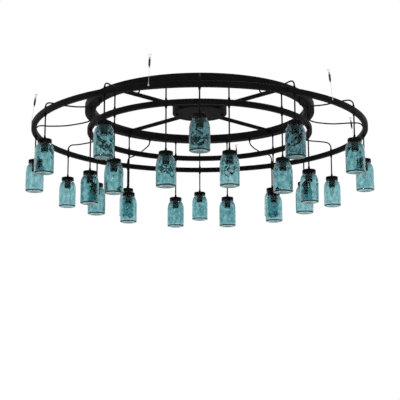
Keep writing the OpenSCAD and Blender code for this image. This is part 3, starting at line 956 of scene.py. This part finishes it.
def armShapes():
    # a rounded square carried along the arm; its ends follow the canopy and the ring,
    # at r = sqrt(end^2 - across^2)
    side = arm["side"]
    line = squareLine(-side / 2, arm["mid"] - side / 2, side, arm["corner"])
    t = np.linspace(0, 1, arm["steps"] + 1)[:, None]
    across = line[None, :, 0]
    start, end = np.sqrt(arm["start"] ** 2 - across**2), np.sqrt(arm["end"] ** 2 - across**2)
    along = start * (1 - t) + end * t
    points = np.stack([across + 0 * t, -along, line[None, :, 1] + 0 * t], 2).reshape(-1, 3)
    count = len(line)
    quads = gridFaces(arm["steps"] + 1, count, False)
    points, tris = withEnd(points, noTris, 0, count, [0, -arm["start"], arm["mid"]])
    far = arm["steps"] * count
    points, tris = withEnd(points, tris, far, count, [0, -arm["end"], arm["mid"]], True)
    bar = outward((points, quads, tris))
    # weld beads round both ends, with the small ripples of a hand-run weld
    s = np.linspace(0, 1, 160, endpoint=False)
    loop = np.vstack([line, line[:1]])
    length = np.concatenate([[0], np.cumsum(np.linalg.norm(np.diff(loop, axis=0), axis=1))])
    beadX, beadZ = (np.interp(s * length[-1], length, loop[:, i]) for i in (0, 1))
    thickness = bead["radius"] * (1 + 0.12 * np.sin(s * fullTurn * bead["ripples"]))
    beads = []
    for reach, outwards in ((arm["start"], 1), (arm["end"], -1)):
        depth = np.sqrt(reach**2 - beadX**2) + outwards * 0.4
        beads.append(tubeAlong(np.column_stack([beadX, -depth, beadZ]), thickness, 10, True))
    return [bar, *beads]


armParts = armShapes()
arms = joined(*[moved(part, turn) for turn in (45, 135, 225, 315) for part in armParts])
framePiece("supportArms", arms, "support_arms")

canopy = {"radius": 150, "low": -46, "wall": 1.6, "edge": 3.0}


def canopyLine():
    # a shallow drum open at the top: floor, rolled edge, side, rim, and the same again inside
    r, low, wall, edge = canopy.values()
    inner = r - wall
    return lineOf(
        [0, low],
        wallOf(low, 20, r - 8, 7)[:, ::-1],
        arcOf(r - edge, low + edge, edge, -90, 0, 8),
        wallOf(r, -36, -0.6, 6),
        [[r - 0.5, 0], [inner + 0.3, 0], [inner, -0.6], [inner, -39]],
        arcOf(inner - 2, low + wall + 2, 2, 0, -90, 4),
        [0, low + wall],
    )


framePiece("canopyShell", lathe(canopyLine(), 240), "canopy")

knob = {"radius": 6.5, "height": 9, "at": 125, "top": -46.1, "flutes": 24}


def knobShape():
    # knurled thumb knob: flutes round a domed cylinder
    r, h = knob["radius"], knob["height"]
    line = lineOf(
        [[0, -h], [2, -h]],
        arcOf(r - 2.4, 2.4 - h, 2.4, -80, 0, 5),
        wallOf(r, 3 - h, -1.6, 5),
        [[r - 0.8, -0.9], [r - 1.4, 0], [0, 0]],
    )

    def flutes(radius, z, a):
        band = np.clip((z + h - 1.6) / 1.2, 0, 1) * (radius > r - 0.6)
        return radius - 0.45 * band * ripple(knob["flutes"], a), z

    return lathe(line, 96, carve=flutes)


knobMesh = knobShape()
knobs = joined(*[moved(knobMesh, turn, knob["at"], knob["top"]) for turn in (90, 270)])
framePiece("canopyKnobs", knobs, "canopy_knobs")
print("rings, arms and canopy made")


# Cord grips
grip = {"flange": 7.5, "tip": 4.8, "neck": 5.2}


def gripTaper():
    # the part of a grip that shows under a sheet at z = 0: a knurled nut,
    # then a taper with flexing grooves and an open tip round the cord
    z = np.linspace(-3.2, -14.6, 25)
    f, t = grip["flange"], grip["tip"]
    r = f - 0.6 - (f - 0.6 - t) * (-z - 3.2) / 11.4 - flexGrooves(-z, 4, 14, 0.4, 0.27)
    nut = [[f - 0.2, -2.8], [f, -2.4], [f, -0.5], [f - 0.3, -0.1], [0, -0.1]]
    line = lineOf([0, -15], [t, -15], np.column_stack([r, z])[::-1], nut)

    def knurl(radius, height, a):
        band = (height > -2.6) * (height < -0.3) * (radius > f - 0.2)
        return radius - 0.3 * band * ripple(12, a), height

    return lathe(line, 24, carve=knurl)


def hexRing(low, high):
    # six-sided lock ring: r = flat / cos of the angle to the nearest flat, bevelled at both faces
    corner = grip["flange"]
    flat = corner * math.cos(math.pi / 6)
    line = [[0, low], [flat, low], [corner, low + 0.5], [corner, high - 0.5], [flat, high], [0, high]]

    def flats(radius, z, a):
        nearest = (a + math.pi / 6) % (math.pi / 3) - math.pi / 6
        return np.minimum(radius, flat / np.cos(nearest)), z

    return lathe(line, 36, carve=flats)


def flipped(shape, height):
    # the shape upside down about that height
    points, quads, tris = shape
    return outward((points * [1, 1, -1] + [0, 0, 2 * height], quads, tris))


taper = gripTaper()
neckIn = lathe([[0, -1], [grip["neck"], -1], [grip["neck"], 3], [0, 3]], 24)
cordStub = lathe([[0, 5], [cords["radius"], 5], [cords["radius"], 9], [0, 9]], 16)
ringGrip = [taper, neckIn, hexRing(2.1, 5.0), cordStub]
tubeGrip = [taper, flipped(taper, tube["side"] / 2)]
# under the ceiling ring, which is straight above the inner ring, and then on the two hanging rings
above = [(turnOf(kind, i), rings["inner"]["radius"], channel["low"]) for kind, i in pendants]
below = [(turnOf(kind, i), rings[kind]["radius"], tube[kind]["low"]) for kind, i in pendants]
placed = [moved(p, *spot) for spot in above for p in ringGrip]
placed += [moved(p, *spot) for spot in below for p in tubeGrip]
newPiece("cordGrips", joined(*placed), [blackNylon], "frame", ["cord_grips"])
print("cord grips made")


# Cable grippers and cables
# Each cable runs from a coupler on the ceiling down and outwards to an eye on the outer ring's face.
hang = {"first": 45, "step": 60, "count": 6, "radius": 900, "eyeRadius": 919.9, "eyeZ": -157.5}
lean = math.degrees(math.atan2(hang["eyeRadius"] - hang["radius"], -hang["eyeZ"]))
reach = math.hypot(hang["eyeRadius"] - hang["radius"], hang["eyeZ"])
coupler = {"radius": 9, "flange": 3, "barrel": 5, "height": 17}
gripper = {"radius": 5, "top": -17.1, "length": 52, "collar": 12, "knurls": 30}


def couplerShapes():
    # a flange against the ceiling, and a barrel that leans with the cable
    r, f, b, h = coupler["radius"], coupler["flange"], coupler["barrel"], coupler["height"]
    edge = arcOf(r - 1.2, -f + 1.2, 1.2, -90, 0, 4)
    flange = lathe(lineOf([0, -f - 1], [b + 0.8, -f - 1], edge, [r, -0.4], [r - 0.4, 0], [0, 0]), 48)
    groove = [[b, -9], [b - 0.4, -8.5], [b - 0.4, -6.5], [b, -6]]
    barrel = lathe(lineOf([0, -h], [b - 0.6, -h], [b, -h + 0.6], groove, [b, -2], [0, -2]), 48)
    return [flange, leaned(barrel, lean)]


def gripperShapes():
    # a pale collar and neck above; a dark barrel with a knurled band, cone and release nose below
    r, top, low = gripper["radius"], gripper["top"], gripper["top"] - gripper["length"]
    split = top - gripper["collar"]
    collar = [[0, split], [r, split], [r, top - 8], [r * 0.75, top - 6], [r * 0.75, top], [0, top]]
    line = lineOf(
        [[0, low], [1.9, low], [2.3, low + 0.4], [2.3, low + 5.5], [3.1, low + 5.8], [3.3, low + 6.6]],
        [[r - 0.5, low + 11.4], [r, low + 12.2]],
        [[r, low + 20], [r - 0.5, low + 20.5], [r - 0.5, low + 22], [r, low + 22.5]],
        wallOf(r, low + 24, split - 4, 6),
        [[r, split - 1.2], [r - 0.5, split - 0.8], [r - 0.5, split], [0, split]],
    )

    def knurl(radius, z, a):
        band = within(z, low + 23.5, split - 3, 1) * (radius > r - 0.1)
        return radius - 0.3 * band * ripple(gripper["knurls"], a), z

    return leaned(lathe(collar, 48), lean), leaned(lathe(line, 60, carve=knurl), lean)


cable = {"radius": 0.8, "strands": 6, "pitch": 9.0, "top": -69.0, "rows": 111}
fitting = {"sleeve": 1.7, "eye": 4.5, "head": 2.8}


def cableShapes():
    # six strands laid round each other: r = R (0.84 + 0.16 |cos 3(a - twist)|), the twist growing with height
    top = fitting["eye"] - reach
    upright = wallOf(cable["radius"], top + 4, cable["top"], cable["rows"])
    line = lineOf([0, top + 4], upright, [0, cable["top"]])

    def strands(radius, z, a):
        twist = fullTurn * z / cable["pitch"]
        return radius * (0.84 + 0.16 * np.abs(np.cos(cable["strands"] / 2 * (a - twist)))), z

    r = fitting["sleeve"]
    # the sleeve is crimped twice
    sleeve = lineOf(
        [[0, top - 1], [1.3, top - 1], [r, top - 0.4], [r, top + 1.6]],
        [[1.4, top + 2.1], [1.4, top + 3], [r, top + 3.5], [r, top + 5.4]],
        [[1.4, top + 5.9], [1.4, top + 6.8], [r, top + 7.3], [r, top + 8.6]],
        [[1.3, top + 9], [0, top + 9]],
    )
    return [leaned(lathe(line, 24, carve=strands), lean), leaned(lathe(sleeve, 24), lean)]


def eyeShapes():
    # flat eye with rounded edges, its spacer, and the pan head and shank of its screw,
    # made along Z and then laid outwards
    r, h = fitting["eye"] - 0.55, fitting["head"]
    lowEdge, topEdge = arcOf(r, -0.95, 0.55, -90, 0, 3), arcOf(r, -0.55, 0.55, 0, 90, 3)
    plate = lathe(lineOf([0, -1.5], [r, -1.5], lowEdge, topEdge, [0, 0]), 36)
    recess = [[0.95, 1.58], [0.95, 0.8], [0, 0.8]]
    head = lathe(lineOf([0, -0.5], [h, -0.5], [h, 0.5], arcOf(1.7, 0.5, 1.1, 0, 80, 5), recess), 36)
    spacer = lathe([[0, -3.3], [h, -3.3], [h, -1.4], [0, -1.4]], 36)
    shank = lathe([[0, -6.9], [1.5, -6.9], [1.5, -3.2], [0, -3.2]], 20)
    laid = [laidOut(shape) for shape in (plate, head, spacer, shank)]
    return [(points + [0, 0, hang["eyeZ"]], quads, tris) for points, quads, tris in laid]


turns = [hang["first"] + hang["step"] * k for k in range(hang["count"])]
collarMesh, gripperMesh = gripperShapes()
grippers = joined(
    *[(moved(shape, turn, hang["radius"]), 0) for turn in turns for shape in couplerShapes()],
    *[(moved(gripperMesh, turn, hang["radius"]), 1) for turn in turns],
    *[(moved(collarMesh, turn, hang["radius"]), 2) for turn in turns],
)
gripperMaterials = [whitePaint, brownBronze, paleBronze]
newPiece("cableGrippers", grippers, gripperMaterials, "frame", ["cable_grippers"])
cables = joined(
    *[moved(shape, turn, hang["radius"]) for turn in turns for shape in cableShapes()],
    *[moved(shape, turn, hang["eyeRadius"]) for turn in turns for shape in eyeShapes()],
)
newPiece("suspensionCables", cables, [steelWire], "frame", ["suspension_cables"])
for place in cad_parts["ceiling_bar"].material_slots:
    place.material = zincSteel
print("cables and fittings made")


# Studio
studio = {
    "ground": -2.4,
    "groundRadius": 9.0,
    "groundSteps": 96,
    "groundColours": ["#f4f3f0", "#f1f0ee"],
    "mottle": 900,
    "sky": 0.6,
    # each lamp's place, size and power
    "lamps": [((-2.1, -4.6, -1.5), 0.35, 40), ((2.0, -4.7, -1.5), 0.35, 40), ((0.6, 1.6, 2.2), 0.8, 40)],
    "aim": (0, 0, -0.35),
}


def largerOf(first, second):
    settings = {"operation": "MAXIMUM"}
    return addNode(first, "ShaderNodeMath", settings, {0: first, 1: second}).outputs[0]


def skyOf(tree, strength):
    return addNode(tree, "ShaderNodeBackground", None, {"Color": (1, 1, 1, 1), "Strength": strength})


def studioWorld():
    # white where it is seen, straight on or by way of glass and gloss, and softer as a light
    world = bpy.data.worlds.new("softStudio")
    tree = emptyTree(world)
    rays = addNode(tree, "ShaderNodeLightPath").outputs
    seen = largerOf(rays["Is Camera Ray"], rays["Is Glossy Ray"])
    seen = largerOf(seen, rays["Is Transmission Ray"])
    mixed = mixShaders(seen, skyOf(tree, studio["sky"]), skyOf(tree, 1.0))
    addNode(tree, "ShaderNodeOutputWorld", None, {"Surface": mixed})
    bpy.context.scene.world = world


def studioFloor():
    # a pale seamless floor; from below it isn't seen, so that views from under the lamp stay open
    count = studio["groundSteps"]
    a = np.arange(count) * fullTurn / count
    circle = np.column_stack([np.sin(a), -np.cos(a), np.zeros(count)])
    points = circle * studio["groundRadius"] + [0, 0, studio["ground"]]
    mesh = bpy.data.meshes.new("studioFloor")
    mesh.from_pydata(points.tolist(), [], [list(range(count))])
    floor = bpy.data.objects.new("studioFloor", mesh)
    bpy.context.scene.collection.objects.link(floor)
    values = {"Roughness": 0.9, "Specular IOR Level": 0.1}
    material, shader, place = startMaterial("paintedStudioFloor", values)
    paint(shader, noiseOf(place, studio["mottle"], 2), *studio["groundColours"])
    below = addNode(shader, "ShaderNodeNewGeometry").outputs["Backfacing"]
    mixed = mixShaders(below, shader, addNode(shader, "ShaderNodeBsdfTransparent"))
    setInput(outputOf(shader), "Surface", mixed)
    mesh.materials.append(material)


def softbox(name, at, size, power):
    light = bpy.data.lights.new(name, "AREA")
    light.shape, light.size, light.energy = "SQUARE", size, power
    made = bpy.data.objects.new(name, light)
    bpy.context.scene.collection.objects.link(made)
    made.location = at
    aim = np.array(studio["aim"]) - np.array(at)
    level = math.hypot(aim[0], aim[1])
    made.rotation_euler = (math.atan2(level, -aim[2]), 0, math.atan2(aim[1], aim[0]) - math.pi / 2)


studioWorld()
studioFloor()
for number, light in enumerate(studio["lamps"], 1):
    softbox(f"softbox{number}", *light)
bpy.context.scene.view_settings.view_transform = "Standard"
print("studio lit")
